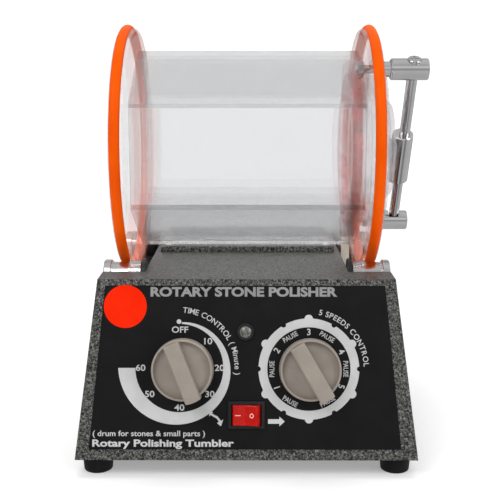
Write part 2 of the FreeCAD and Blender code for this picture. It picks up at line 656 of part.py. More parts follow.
def roller(name, x0, x1, thin, y, s):
    """Grooved roller; x runs outward from the middle of the base."""
    g0 = dim(71.4) if thin else dim(73.1)
    prof = []
    if thin:
        prof += [(x0, d.shaft_rad), (x0, d.hub_rad - 0.4), (x0 + 0.4, d.hub_rad), (dim(70.3), d.hub_rad), (dim(70.3), d.flange_lip - 0.2),
                 (dim(70.5), d.flange_lip), (dim(71.2), d.flange_lip), (g0, d.flange_lip - 0.3)]
    else:
        prof += [(g0, d.shaft_rad)]
    prof += [(g0, d.groove_rad + 0.25), (g0 + 0.6, d.groove_rad + 0.25), (g0 + 0.6, d.groove_rad), (dim(81.3), d.groove_rad), (dim(81.3), d.groove_rad + 0.3),
             (dim(82.1), d.groove_rad + 0.3), (dim(82.1), d.flange_lip - 0.3), (dim(82.4), d.flange_lip), (x1 - 0.8, d.flange_lip), (x1, d.flange_lip - 0.8),
             (x1, dim(4.6)), (x1 - 0.9, dim(4.2)), (x1 - 0.9, d.shaft_rad)]
    b = turned(name, [(s * dim(a), r) for a, r in prof])
    finish(b, name, (0, y, d.roller_z))


roller("front_roller_left", dim(63.8), dim(86.6), True, -d.roller_y, -1)
roller("front_roller_right", dim(63.8), dim(86.6), True, -d.roller_y, 1)
roller("rear_roller_left", dim(73.1), dim(86.6), False, d.roller_y, -1)
roller("rear_roller_right", dim(73.1), dim(86.6), False, d.roller_y, 1)

for name, y in (("front_shaft", -d.roller_y), ("rear_shaft", d.roller_y)):
    shaft = chamfer(cyl(d.shaft_rad, 171.4, (-85.7, 0, 0), ALONG_X), 0.4, lambda e: e.Length > 5 and abs(e.CenterOfMass.x) > 80)
    finish(shaft, name, (0, y, d.roller_z))

# black hub that locks the left rear roller
b = turned("rear_hub", [(-dim(a), dim(r)) for a, r in ((63.8, 2.5), (63.8, 5.0), (65.6, 5.0), (65.6, 8.2), (66.1, 8.8), (71.9, 8.8), (72.4, 8.3), (73.1, 8.3), (73.1, 2.5))])
finish(b, "rear_hub", (0, d.roller_y, d.roller_z))


def toothed(name, x0, x1, r_root, r_tip, n, hub, at, flange_r):
    """Timing pulley with n square teeth between x0 and x1."""
    rim = cyl(r_tip, d.belt_w + 2 * d.belt_gap, (d.belt_x - d.belt_gap, 0, 0), ALONG_X)
    gaps = [box(d.belt_w + 2, 1.2, 3, (d.belt_x - 1.0, -0.6 * math.cos(a) - r_root * math.sin(a), -0.6 * math.sin(a) + r_root * math.cos(a)),
                Rotation(Vector(1, 0, 0), math.degrees(a))) for a in [2 * math.pi * i / n for i in range(n)]]
    wheel = cut(rim, fuse(*gaps))
    parts = [wheel] + [cyl(r, b - a, (a, 0, 0), ALONG_X) for a, b, r in hub]
    solid = cut(fuse(*parts), cyl(d.shaft_rad, 60, (40, 0, 0), ALONG_X))
    finish(solid, name, at)


toothed("rear_drive_pulley", 0, 0, 5.8, 6.6, 14, [(dim(63.8), d.belt_x - 0.9, 5.0), (d.belt_x - 0.9, d.belt_x - d.belt_gap, 8.0), (d.belt_x + d.belt_w + d.belt_gap, dim(72.7), 8.1), (dim(72.7), dim(73.1), 6.0)],
        (0, d.roller_y, d.roller_z), 8.0)
toothed("motor_pulley", 0, 0, 3.8, 4.6, 10, [(dim(60.5), d.belt_x - 1.2, 4.6), (d.belt_x - 1.2, d.belt_x - d.belt_gap, 6.6), (d.belt_x + d.belt_w + d.belt_gap, d.belt_x + d.belt_w + 1.2, 6.6)],
        (0, d.motor_y, d.motor_z), 6.6)

# flanged bearings screwed to the liners' inner walls
bear = []
for s in (-1, 1):
    for y in (-d.roller_y, d.roller_y):
        face = cyl(d.bearing_rad, 2.3, (dim(61.2) if s > 0 else dim(-63.5), y, d.roller_z), ALONG_X)
        face = chamfer(face, 0.5, lambda e, s=s: abs(abs(e.CenterOfMass.x) - 63.5) < 1e-3 and e.Length > 30)
        grv = cut(cyl(7.6, 0.5, (dim(63.1) if s > 0 else dim(-63.6), y, d.roller_z), ALONG_X),
                  cyl(5.0, 2, (dim(62.5) if s > 0 else dim(-64.5), y, d.roller_z), ALONG_X))
        bear.append(cut(cut(face, grv), cyl(2.55, 8, (dim(58) if s > 0 else dim(-66), y, d.roller_z), ALONG_X)))
group("shaft_bearings", bear)

# drive belt from the motor up to the right rear roller (open loop of two
# straight runs tangent to two arcs), 0.3 clear of both pulleys
b = new_body("drive_belt")


def belt_loop(extra):
    """Outline of the loop round both pulleys in the YZ plane."""
    y1, z1, r1 = d.roller_y.value, d.roller_z.value, 6.9 + extra
    y2, z2, r2 = d.motor_y.value, d.motor_z.value, 4.9 + extra
    dist = math.hypot(y1 - y2, z1 - z2)
    base = math.atan2(z1 - z2, y1 - y2)
    off = math.acos((r1 - r2) / dist)
    c1, c2 = Vector(0, y1, z1), Vector(0, y2, z2)
    pt = lambda c, r, a: Vector(0, c.y + r * math.cos(a), c.z + r * math.sin(a))
    a_l, a_r = base + off, base - off
    e = [
        Part.Arc(pt(c1, r1, a_r), pt(c1, r1, base), pt(c1, r1, a_l)).toShape(),
        Part.LineSegment(pt(c1, r1, a_l), pt(c2, r2, a_l)).toShape(),
        Part.Arc(pt(c2, r2, a_l), pt(c2, r2, base + math.pi), pt(c2, r2, a_r)).toShape(),
        Part.LineSegment(pt(c2, r2, a_r), pt(c1, r1, a_r)).toShape(),
    ]
    return Part.Wire(e)


doc.removeObject(b.Name)
outer = Part.Face(belt_loop(1.4)).extrude(Vector(d.belt_w.value, 0, 0))
innr = Part.Face(belt_loop(0.0)).extrude(Vector(d.belt_w.value, 0, 0))
belt_shape = outer.cut(innr)
if belt_shape.ShapeType != "Solid":
    belt_shape = belt_shape.Solids[0]
belt = doc.addObject("Part::Feature", "drive_belt_shape")
belt.Shape = belt_shape
finish(belt, "drive_belt", (d.belt_x + 0.0, 0, 0))

# motor with its bracket on the floor
zfl = d.base_bot_z + d.floor_thk
can = cyl(d.motor_rad, 62, (-26, 0, 0), ALONG_X)
can = fillet(can, 2.5, lambda e: e.Length > 100)
motor = fuse(can, cyl(8.0, 3.6, (36, 0, 0), ALONG_X), cyl(10, 5, (-31, 0, 0), ALONG_X), *[box(9, 1.0, 6.0, (-34, y, 12)) for y in (-6.0, 5.0)])
motor = cut(motor, cyl(2.56, 60, (-20, 0, 0), ALONG_X))
finish(motor, "motor", (0, d.motor_y, d.motor_z))
finish(cyl(d.shaft_rad, 97), "motor_shaft", (-19, d.motor_y, d.motor_z), ALONG_X)
bracket = fuse(slab(36.0, 38.5, -26, 26, 12.2 - 48.0, 27), slab(38.5, 56, -26, 26, 12.2 - 48.0, 14.7 - 48.0))
bracket = cut(bracket, fuse(cyl(8.05, 20, (30, 0, 0), ALONG_X), *[cyl(2.1, 20, (30, 16 * math.cos(a), 16 * math.sin(a)), ALONG_X) for a in (math.pi / 4, 3 * math.pi / 4, 5 * math.pi / 4, 7 * math.pi / 4)]))
finish(bracket, "motor_bracket", (0, d.motor_y, d.motor_z))
ms = []
for a in (math.pi / 4, 3 * math.pi / 4, 5 * math.pi / 4, 7 * math.pi / 4):
    y, z = d.motor_y + 16 * math.cos(a), d.motor_z + 16 * math.sin(a)
    ms.append(cut(fuse(cyl(3.4, 2.2, (38.5, y, z), ALONG_X), cyl(2.05, 2.5, (36.0, y, z), ALONG_X)), box(3, 0.8, 5, (39.6, y - 0.4, z - 2.5))))
group("motor_screws", ms)

# control board on four spacers
pcb = fuse(slab(24, 84, -44, 4, 20.2, 21.8), slab(30, 49, -38, -22, 21.8, 37), cyl(6.5, 22, (66, -30, 21.8)), cyl(6.5, 22, (66, -12, 21.8)), slab(30, 46, -14, -4, 21.8, 30), slab(52, 56, -40, -6, 21.8, 46))
pcb = cut(pcb, fuse(*[cyl(1.6, 8, (x, y, 17)) for x in (28, 80) for y in (-40, 0)]))
finish(pcb, "control_board")
group("board_spacers", [fuse(cyl(3.0, 8.0, (x, y, 12.2)), cyl(1.55, 3.2, (x, y, 20.2)), cyl(2.6, 1.2, (x, y, 22.6 - 0.8))) for x in (28, 80) for y in (-40, 0)])

# ========================= drum ==========================================
AX = (d.drum_x, dim(0), d.axis_z)

# hexagonal tube, one edge straight up
b = new_body("drum_shell")


def hexagon(r):
    return [(dim(0), r), (-r * 0.8660254, r * 0.5), (-r * 0.8660254, -r * 0.5), (dim(0), -r), (r * 0.8660254, -r * 0.5), (r * 0.8660254, r * 0.5)]


inner_r = d.hex_rad - d.hex_wall / 0.8660254
pad(b, sketch(b, "YZ_Plane", [hexagon(d.hex_rad), hexagon(inner_r)]), 2 * d.flange_in, both=True)
finish(b, "drum_shell", AX)


def ring_groove(s):
    return torus(d.ring_rad, d.ring_wire, (s * d.ring_off, 0, 0), ALONG_X)


thick = d.flange_out - d.flange_in
left = cyl(d.flange_rad, thick, (-d.flange_out, 0, 0), ALONG_X)
left = chamfer(left, 0.8, lambda e: e.Length > 400)
left = cut(left, ring_groove(-1))
finish(left, "flange_left", AX)

right = cyl(d.flange_rad, thick, (d.flange_in, 0, 0), ALONG_X)
right = chamfer(right, 0.8, lambda e: e.Length > 400)
right = cut(right, fuse(ring_groove(1), cyl(d.mouth_rad, 30, (60, 0, 0), ALONG_X),
                        cyl(2.55, 30, (dim(60), -d.post_y, d.post_z), ALONG_X), cyl(2.55, 30, (dim(60), d.post_y, -d.post_z), ALONG_X)))
finish(right, "flange_right", AX)
for s, name in ((-1, "drive_ring_left"), (1, "drive_ring_right")):
    finish(torus(d.ring_rad, d.ring_wire, (0, 0, 0)), name, (AX[0] + s * d.ring_off, AX[1], AX[2]), ALONG_X)

# lid: moulded cup with a rim, two notches for the post necks, coned boss
b = turned("lid", [
    (d.boss_top - 5.4, dim(0)), (d.boss_top - 5.4, d.boss_rad - 3.6), (d.flange_out, d.boss_rad + 3.0), (d.flange_out, d.plug_rad - 4.0),
    (d.plug_in, d.plug_rad - 4.0), (d.plug_in, d.plug_rad - 1.0), (d.plug_in + 1.0, d.plug_rad), (d.flange_out, d.plug_rad),
    (d.flange_out, d.lid_rad - 0.5), (d.flange_out + 0.5, d.lid_rad), (d.lid_face - 0.8, d.lid_rad), (d.lid_face, d.lid_rad - 0.8),
    (d.lid_face, d.boss_rad + 6.0), (d.boss_top - 1.5, d.boss_rad), (d.boss_top, d.boss_rad - 1.5), (d.boss_top, d.pad_rad + 0.2),
    (d.boss_top - 2.0, d.pad_rad + 0.2), (d.boss_top - 2.0, dim(0))])
doc.recompute()
notch = [cyl(7.4, 14, (dim(75), s * -d.post_y, s * d.post_z), ALONG_X) for s in (1, -1)]
keep = cyl(d.plug_rad, 40, (50, 0, 0), ALONG_X)
lid = cut(b, cut(fuse(*notch), keep))
finish(lid, "lid", AX)
gasket = cut(cyl(49.2, 6.0, (62.8, 0, 0), ALONG_X), cyl(d.plug_rad, 20, (55, 0, 0), ALONG_X))
gasket = fillet(gasket, 1.2, lambda e: e.Length > 305)
finish(gasket, "lid_gasket", AX)
padm = cyl(d.pad_rad, d.pad_top - d.boss_top + 2.0, (d.boss_top - 2.0, dim(0), dim(0)), ALONG_X)
padm = chamfer(padm, 0.5, lambda e: e.CenterOfMass.x > d.pad_top.value - 0.01 and e.Length > 20)
finish(padm, "pressure_pad", AX)

# closing clamp: direction of the rod, from the upper post to the lower one
ROD_U = Vector(0, d.post_y.value, -d.post_z.value).normalize()
BACK_UP = Vector(0, -ROD_U.z, ROD_U.y)          # square to the rod, towards the rear and up
ALONG_ROD = Rotation(Vector(0, 0, 1), ROD_U)
half_span = math.hypot(d.post_y.value, d.post_z.value)

# lower post: stud, neck and a notched head with a lip
low = fuse(cyl(d.stud_rad, 14.5, (dim(65.0), dim(0), dim(0)), ALONG_X), cyl(d.neck_rad, d.post_in - d.flange_out + 0.5, (d.flange_out, dim(0), dim(0)), ALONG_X),
           chamfer(cyl(d.post_rad, d.post_out - d.post_in, (d.post_in, dim(0), dim(0)), ALONG_X), 0.7, lambda e: e.Length > 30))
tool = doc.addObject("Part::Box", uid("box"))
tool.Length, tool.Width, tool.Height = 7.7, 30, 40
# the notch runs along the rod and is open towards the rear and up
rot = Rotation(FreeCAD.Matrix(
    1, 0, 0, 0,
    0, BACK_UP.y, -ROD_U.y, 0,
    0, BACK_UP.z, -ROD_U.z, 0,
    0, 0, 0, 1))
start = BACK_UP * -3.65 + ROD_U * 20
tool.Placement = Placement(Vector(96.2, start.y, start.z), rot)
low = cut(low, tool)
finish(low, "lower_post", (AX[0], d.post_y, d.axis_z - d.post_z))

# pivot stud of the upper post, fixed in the disc
piv = fuse(cyl(d.stud_rad, 30.5, (dim(65.0), dim(0), dim(0)), ALONG_X), cyl(d.neck_rad, 6.3, (d.flange_out, dim(0), dim(0)), ALONG_X))
finish(piv, "pivot_stud", (AX[0], -d.post_y, d.axis_z + d.post_z))


def hex_nut(at, r, length, bore):
    o = doc.addObject("Part::Prism", uid("prism"))
    o.Polygon = 6
    o.Circumradius = r
    o.Height = length
    seat(o, at, ALONG_X)
    return cut(o, cyl(bore, 20, (at[0] - 5, at[1], at[2]), ALONG_X))


group("post_nuts", [hex_nut((d.drum_x + d.flange_in - 4.0, sy * d.post_y, d.axis_z - sy * d.post_z), 4.6, 4.0, d.stud_rad) for sy in (-1, 1)])

# upper post: turns on the stud and carries the rod
up = chamfer(cyl(d.post_rad, d.post_out - d.post_in, (d.post_in, dim(0), dim(0)), ALONG_X), 0.7, lambda e: e.Length > 30)
bore = cyl(2.56, 10.6, (d.post_in - 0.5, dim(0), dim(0)), ALONG_X)
cross = cyl(d.rod_rad, 30, (dim(100), dim(-15 * ROD_U.y), dim(-15 * ROD_U.z)), ALONG_ROD)
flat = cyl(4.3, 6, (dim(100), dim(-11.4 * ROD_U.y), dim(-11.4 * ROD_U.z)), ALONG_ROD)
up = cut(up, fuse(bore, cross, flat))
finish(up, "upper_post", (AX[0], -d.post_y, d.axis_z + d.post_z))

# rod, with a domed end, and the screw that holds it in the upper post
rod = cyl(d.rod_rad, 2 * half_span + 5.0 + 4.0, (0, 0, -4.0))
rod = fillet(rod, 1.2, lambda e: e.CenterOfMass.z > 50 and e.Length > 15)
rod = cut(rod, cyl(1.5, 9, (0, 0, -5)))
finish(rod, "clamp_rod", (AX[0] + 100.0, -d.post_y, d.axis_z + d.post_z), ALONG_ROD)
sh = cyl(4.15, 1.9, (0, 0, -7.3))
sh = fillet(sh, 0.7, lambda e: e.CenterOfMass.z < -7.2 and e.Length > 20)
sh = cut(fuse(sh, cyl(1.5, 6.0, (0, 0, -5.5))), fuse(box(5.6, 0.9, 1.0, (-2.8, -0.45, -7.8)), box(0.9, 5.6, 1.0, (-0.45, -2.8, -7.8))))
finish(sh, "rod_screw", (AX[0] + 100.0, -d.post_y, d.axis_z + d.post_z), ALONG_ROD)

# eccentric sleeve that turns on the rod and presses the pad; its thick side
# faces the lid at rest
ecc = cyl(d.cam_rad, d.cam_len, (-d.cam_off, dim(0), -d.cam_len / 2))
ecc = chamfer(ecc, 0.5, lambda e: e.Length > 30)
ecc = cut(ecc, cyl(d.cam_bore, 60, (0, 0, -30)))
mid = d.cam_mid.value
cam_rot = Rotation(FreeCAD.Matrix(
    1, 0, 0, 0,
    0, ROD_U.z, ROD_U.y, 0,
    0, -ROD_U.y, ROD_U.z, 0,
    0, 0, 0, 1))
finish(ecc, "clamp_sleeve", (AX[0] + 100.0, dim(ROD_U.y * mid), d.axis_z + ROD_U.z * mid), cam_rot)

# ========================= check and write ===============================
doc.recompute()
bad = []
for o in doc.Objects:
    if any(word in o.State for word in ("Invalid", "Error")):
        bad.append("%s (%s): %s" % (o.Name, o.Label, o.State))
for name, obj in nodes:
    s = obj.Shape
    if s.isNull() or not s.isValid() or not s.Solids:
        bad.append("%s: shape null, not valid or no solid" % name)
if bad:
    raise SystemExit("\n".join(bad))

os.makedirs("parts", exist_ok=True)
for old in os.listdir("parts"):
    if old.endswith(".step"):
        os.remove(os.path.join("parts", old))
total = None
for name, obj in nodes:
    obj.Shape.exportStep(os.path.join("parts", name + ".step"))
    bb = obj.Shape.BoundBox
    total = bb if total is None else total.united(bb)
    print("%-22s solids %d  vol %9.1f  X %7.2f %7.2f  Y %7.2f %7.2f  Z %7.2f %7.2f" % (
        name, len(obj.Shape.Solids), obj.Shape.Volume, bb.XMin, bb.XMax, bb.YMin, bb.YMax, bb.ZMin, bb.ZMax))
print("nodes", len(nodes), "overall X %.3f %.3f Y %.3f %.3f Z %.3f %.3f" % (
    total.XMin, total.XMax, total.YMin, total.YMax, total.ZMin, total.ZMax))
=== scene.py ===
import json
import math
import bpy
import bmesh
from mathutils import Matrix, Vector


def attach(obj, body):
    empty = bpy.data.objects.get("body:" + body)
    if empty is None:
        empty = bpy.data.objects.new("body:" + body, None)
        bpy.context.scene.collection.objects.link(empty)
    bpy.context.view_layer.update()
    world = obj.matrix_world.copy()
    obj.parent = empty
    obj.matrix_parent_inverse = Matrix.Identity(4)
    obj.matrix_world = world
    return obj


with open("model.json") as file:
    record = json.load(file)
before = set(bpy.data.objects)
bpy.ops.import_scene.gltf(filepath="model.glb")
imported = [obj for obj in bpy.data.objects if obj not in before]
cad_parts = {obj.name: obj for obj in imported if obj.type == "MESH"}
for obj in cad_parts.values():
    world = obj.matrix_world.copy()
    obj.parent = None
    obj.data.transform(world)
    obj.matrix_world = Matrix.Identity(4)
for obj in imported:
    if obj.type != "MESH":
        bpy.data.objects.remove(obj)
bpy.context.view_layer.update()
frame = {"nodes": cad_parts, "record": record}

RECORD = frame["record"]
JOINTS = {j["name"]: j for j in RECORD["behaviour"]["joints"]}
MM = 0.001
POWER = 0.85

# ------------------------------------------------------------- materials ---


class Mat:
    """A procedural material being put together."""

    def __init__(self, name):
        self.m = bpy.data.materials.new(name)
        self.m.use_nodes = True
        self.t = self.m.node_tree
        self.t.nodes.clear()
        self.out = self.t.nodes.new("ShaderNodeOutputMaterial")
        self.p = self.t.nodes.new("ShaderNodeBsdfPrincipled")
        self.t.links.new(self.p.outputs[0], self.out.inputs[0])
        self.co = self.t.nodes.new("ShaderNodeTexCoord").outputs["Object"]

    def node(self, kind, **values):
        n = self.t.nodes.new(kind)
        for k, v in values.items():
            setattr(n, k, v)
        return n

    def link(self, a, b):
        self.t.links.new(a, b)

    def stretch(self, sx, sy, sz):
        n = self.node("ShaderNodeMapping")
        n.inputs["Scale"].default_value = (sx, sy, sz)
        self.link(self.co, n.inputs["Vector"])
        return n.outputs[0]

    def noise(self, scale, detail=3.0, rough=0.55, at=None, distort=0.0):
        n = self.node("ShaderNodeTexNoise")
        n.inputs["Scale"].default_value = scale
        n.inputs["Detail"].default_value = detail
        n.inputs["Roughness"].default_value = rough
        n.inputs["Distortion"].default_value = distort
        self.link(at or self.co, n.inputs["Vector"])
        return n.outputs["Fac"]

    def cells(self, scale, feature="F1", at=None):
        n = self.node("ShaderNodeTexVoronoi", feature=feature)
        n.inputs["Scale"].default_value = scale
        self.link(at or self.co, n.inputs["Vector"])
        return n.outputs["Distance"]

    def ramp(self, fac, stops, mode="LINEAR"):
        n = self.node("ShaderNodeValToRGB")
        r = n.color_ramp
        r.interpolation = mode
        while len(r.elements) < len(stops):
            r.elements.new(0.5)
        for e, (pos, col) in zip(r.elements, stops):
            e.position = pos
            e.color = (*col, 1.0) if len(col) == 3 else col
        self.link(fac, n.inputs["Fac"])
        return n.outputs["Color"]

    def grey(self, fac, lo, hi, a=0.3, b=0.7):
        """fac between a and b becomes lo to hi."""
        n = self.node("ShaderNodeMapRange")
        n.inputs["From Min"].default_value = a
        n.inputs["From Max"].default_value = b
        n.inputs["To Min"].default_value = lo
        n.inputs["To Max"].default_value = hi
        self.link(fac, n.inputs["Value"])
        return n.outputs["Result"]

    def mix(self, fac, a, b, blend="MIX"):
        n = self.node("ShaderNodeMix", data_type="RGBA", blend_type=blend)
        if isinstance(fac, float):
            n.inputs[0].default_value = fac
        else:
            self.link(fac, n.inputs[0])
        for sock, c in ((n.inputs[6], a), (n.inputs[7], b)):
            if isinstance(c, tuple):
                sock.default_value = (*c, 1.0)
            else:
                self.link(c, sock)
        return n.outputs[2]

    def bump(self, height, strength, distance, normal=None):
        n = self.node("ShaderNodeBump")
        n.inputs["Strength"].default_value = strength
        n.inputs["Distance"].default_value = distance
        self.link(height, n.inputs["Height"])
        if normal is not None:
            self.link(normal, n.inputs["Normal"])
        return n.outputs[0]

    def soft_edge(self, radius):
        n = self.node("ShaderNodeBevel", samples=4)
        n.inputs["Radius"].default_value = radius
        return n.outputs[0]

    def use(self, **sockets):
        for key, value in sockets.items():
            s = self.p.inputs[key.replace("_", " ")]
            if isinstance(value, bpy.types.NodeSocket):
                self.link(value, s)
            elif isinstance(value, tuple) and len(value) == 3 and s.type == "RGBA":
                s.default_value = (*value, 1.0)
            else:
                s.default_value = value
        return self


def plastic(name, dark, light, rough=(0.32, 0.5), grain=1400.0, bump=0.12, coat=0.0, scale=60.0, spec=0.35):
    m = Mat(name)
    big = m.noise(scale, 4.0)
    fine = m.noise(grain, 2.0)
    m.use(Base_Color=m.ramp(big, [(0.3, dark), (0.7, light)]), Roughness=m.grey(m.noise(scale * 4, 4.0), *rough),
          Normal=m.bump(fine, bump, 0.0001), Coat_Weight=coat, Specular_IOR_Level=spec)
    return m.m


def metal(name, tint, rough=(0.08, 0.2), smudge=70.0, bump=0.05, lathe=False, vary=0.9):
    m = Mat(name)
    big = m.noise(smudge, 5.0, 0.6)
    low = tuple(c * vary for c in tint)
    if lathe:
        fine = m.noise(900.0, 2.0, at=m.stretch(6.0, 0.3, 0.3))
    else:
        fine = m.noise(1600.0, 2.0)
    m.use(Base_Color=m.ramp(big, [(0.3, low), (0.7, tint)]), Metallic=1.0, Roughness=m.grey(big, *rough),
          Normal=m.bump(fine, bump, 0.00005))
    return m.m


def hammertone(name, dark, mid, light):
    """Stove enamel that dries in cells: light cells, black pits between."""
    m = Mat(name)
    worm = m.noise(900.0, 2.5, 0.6, distort=0.9)
    pits = m.cells(860.0)
    big = m.noise(45.0, 3.0)
    base = m.ramp(worm, [(0.40, dark), (0.49, mid), (0.62, light)])
    base = m.mix(m.grey(pits, 0.0, 0.55, 0.55, 0.85), base, dark)
    base = m.mix(m.grey(big, 0.0, 0.22), base, tuple(c * 0.7 for c in mid))
    edge = m.soft_edge(0.0007)
    n1 = m.bump(worm, 0.8, 0.00045, edge)
    m.use(Base_Color=base, Metallic=0.3, Roughness=m.grey(worm, 0.26, 0.5), Normal=n1, Specular_IOR_Level=0.5)
    return m.m


def acrylic(name, tint, rough=0.012, clear_part=0.35, veil=(0.865, 0.867, 0.872)):
    """Clear moulded plastic.  Light reaches what is inside it."""
    m = Mat(name)
    wave = m.noise(16.0, 2.0)
    haze = m.noise(140.0, 5.0, 0.7)
    m.use(Base_Color=m.ramp(wave, [(0.3, tint), (0.7, tuple(min(1.0, c * 1.02) for c in tint))]),
          Roughness=m.grey(haze, rough, rough + 0.03, 0.45, 0.8), IOR=1.45, Transmission_Weight=1.0,
          Normal=m.bump(wave, 0.05, 0.0008))
    path = m.node("ShaderNodeLightPath")
    straight = m.node("ShaderNodeBsdfTransparent")
    straight.inputs[0].default_value = (*veil, 1.0)
    soft = m.node("ShaderNodeMixShader")
    soft.inputs[0].default_value = clear_part
    m.link(m.p.outputs[0], soft.inputs[1])
    m.link(straight.outputs[0], soft.inputs[2])
    clear = m.node("ShaderNodeBsdfTransparent")
    clear.inputs[0].default_value = (0.95, 0.955, 0.96, 1.0)
    sel = m.node("ShaderNodeMixShader")
    m.link(path.outputs["Is Shadow Ray"], sel.inputs[0])
    m.link(soft.outputs[0], sel.inputs[1])
    m.link(clear.outputs[0], sel.inputs[2])
    m.link(sel.outputs[0], m.out.inputs[0])
    return m.m


def silicone(name, colour, clear_part):
    """Translucent soft seal."""
    m = Mat(name)
    wave = m.noise(90.0, 5.0, 0.7)
    m.use(Base_Color=m.ramp(wave, [(0.35, tuple(min(1.0, c * 1.25 + 0.1) for c in colour)), (0.65, colour)]), Roughness=m.grey(wave, 0.3, 0.5),
          Normal=m.bump(m.noise(900.0), 0.2, 0.0001), Subsurface_Weight=0.2)
    straight = m.node("ShaderNodeBsdfTransparent")
    straight.inputs[0].default_value = (0.98, 0.90, 0.90, 1.0)
    soft = m.node("ShaderNodeMixShader")
    m.link(m.grey(wave, clear_part - 0.15, clear_part + 0.15, 0.4, 0.6), soft.inputs[0])
    m.link(m.p.outputs[0], soft.inputs[1])
    m.link(straight.outputs[0], soft.inputs[2])
    m.link(soft.outputs[0], m.out.inputs[0])
    return m.m


def board(name):
    m = Mat(name)
    tracks = m.cells(260.0, "DISTANCE_TO_EDGE")
    base = m.ramp(tracks, [(0.02, (0.10, 0.32, 0.14)), (0.06, (0.02, 0.12, 0.05))])
    m.use(Base_Color=base, Roughness=m.grey(m.noise(200.0), 0.3, 0.5), Normal=m.bump(tracks, 0.2, 0.0001))
    return m.m


MATERIALS = {
    "hammertone": hammertone("hammertone_enamel", (0.005, 0.005, 0.005), (0.062, 0.062, 0.057), (0.27, 0.27, 0.25)),
    "label_black": plastic("label_overlay", (0.0072, 0.0072, 0.0076), (0.0100, 0.0100, 0.0104), (0.42, 0.55), 2600.0, 0.08, spec=0.10),
    "sticker_red": plastic("red_sticker", (0.80, 0.016, 0.001), (0.90, 0.022, 0.002), (0.4, 0.55), 2200.0, 0.08, spec=0.04),
    "rubber_black": plastic("black_rubber", (0.005, 0.005, 0.005), (0.010, 0.010, 0.010), (0.5, 0.7), 1500.0, 0.25, spec=0.2),
    "chrome": metal("polished_chrome", (0.76, 0.76, 0.765), (0.03, 0.09), 60.0, 0.02),
    "steel": metal("plated_steel", (0.62, 0.62, 0.63), (0.2, 0.36), 90.0, 0.1),
    "alloy": metal("turned_alloy", (0.74, 0.74, 0.74), (0.12, 0.24), 120.0, 0.25, lathe=True),
    "motor_can": metal("motor_can", (0.55, 0.55, 0.57), (0.25, 0.4), 80.0, 0.1),
    "clear_acrylic": acrylic("clear_acrylic", (0.95, 0.952, 0.956), clear_part=0.62),
    "ring_orange": plastic("orange_silicone", (0.76, 0.078, 0.0), (0.84, 0.100, 0.0), (0.36, 0.46), 1800.0, 0.06, spec=0.05),
    "gasket_red": silicone("red_silicone", (0.86, 0.22, 0.20), 0.86),
    "knob_beige": plastic("beige_plastic", (0.262, 0.228, 0.196), (0.322, 0.283, 0.243), (0.34, 0.46), 2200.0, 0.1, spec=0.3),
    "rocker_red": plastic("red_plastic", (0.40, 0.003, 0.001), (0.52, 0.007, 0.002), (0.2, 0.3), 1800.0, 0.04, coat=0.15, spec=0.3),
    "black_plastic": plastic("black_plastic", (0.008, 0.008, 0.008), (0.016, 0.016, 0.016), (0.28, 0.42), 1500.0, 0.08),
    "belt_cream": plastic("cream_belt", (0.60, 0.55, 0.46), (0.72, 0.68, 0.58), (0.5, 0.7), 1200.0, 0.2),
    "lens": plastic("lamp_lens", (0.012, 0.012, 0.010), (0.22, 0.22, 0.20), (0.06, 0.3), 420.0, 1.0, coat=0.3, scale=900.0, spec=0.5),
    "board_green": board("circuit_board"),
}
PRINT = plastic("label_print", (0.48, 0.48, 0.48), (0.57, 0.57, 0.57), (0.45, 0.6), 2000.0, 0.08)
PRINT_DIM = plastic("label_print_dim", (0.24, 0.24, 0.24), (0.30, 0.30, 0.30), (0.45, 0.6), 2000.0, 0.08)
MARK = plastic("rocker_mark", (0.85, 0.45, 0.40), (0.95, 0.55, 0.50), (0.3, 0.4), 2000.0, 0.05)
FLANGE = acrylic("clear_flange", (0.95, 0.955, 0.96), clear_part=0.65, veil=(0.93, 0.935, 0.94))

slot_of = {s["node"]: s["material_slot"] for s in RECORD["subparts"]}
for name, obj in frame["nodes"].items():
    material = MATERIALS[slot_of[name]]
    if name in ("flange_left", "flange_right", "lid"):
        material = FLANGE
    if not obj.material_slots:
        obj.data.materials.append(material)
    for k in range(len(obj.material_slots)):
        obj.material_slots[k].material = material

# --------------------------------------------------- control panel print ---
# The panel's own axes come from the record: the knobs turn about its normal
# and the rocker tilts about the line that runs up it.
N_ = Vector(JOINTS["timer_turn"]["axis"]).normalized()
V_ = Vector(JOINTS["rocker_tilt"]["axis"]).normalized()
U_ = Vector((1, 0, 0))
TIMER = Vector(JOINTS["timer_turn"]["pos_m"])
SPEED = Vector(JOINTS["speed_turn"]["pos_m"])
MID = (TIMER + SPEED) / 2 - V_ * 52 * MM      # middle of the panel's bottom edge
LABEL_TOP = 0.30


def panel(u, v, w=0.0):
    return MID + U_ * (u * MM) + V_ * (v * MM) + N_ * (w * MM)


def solid_strip(bm, inner, outer, place, lo, hi, closed=False):
    """A thin closed plate between two lines of 2-D points."""
    n = len(inner)
    rows = []
    for a, b in zip(inner, outer):
        rows.append([bm.verts.new(place(*a, lo)), bm.verts.new(place(*b, lo)), bm.verts.new(place(*b, hi)), bm.verts.new(place(*a, hi))])
    last = n if closed else n - 1
    for i in range(last):
        p, q = rows[i], rows[(i + 1) % n]
        for k in range(4):
            bm.faces.new((p[k], p[(k + 1) % 4], q[(k + 1) % 4], q[k]))
    if not closed:
        bm.faces.new(rows[0])
        bm.faces.new(list(reversed(rows[-1])))


def solid_plate(bm, outline, place, lo, hi):
    """A thin closed plate with this outline."""
    a = [bm.verts.new(place(x, y, lo)) for x, y in outline]
    b = [bm.verts.new(place(x, y, hi)) for x, y in outline]
    n = len(outline)
    bm.faces.new(list(reversed(a)))
    bm.faces.new(b)
    for i in range(n):
        bm.faces.new((a[i], a[(i + 1) % n], b[(i + 1) % n], b[i]))


def polar(cx, cy, r, deg):
    """deg runs clockwise from straight up."""
    t = math.radians(deg)
    return (cx + r * math.sin(t), cy + r * math.cos(t))


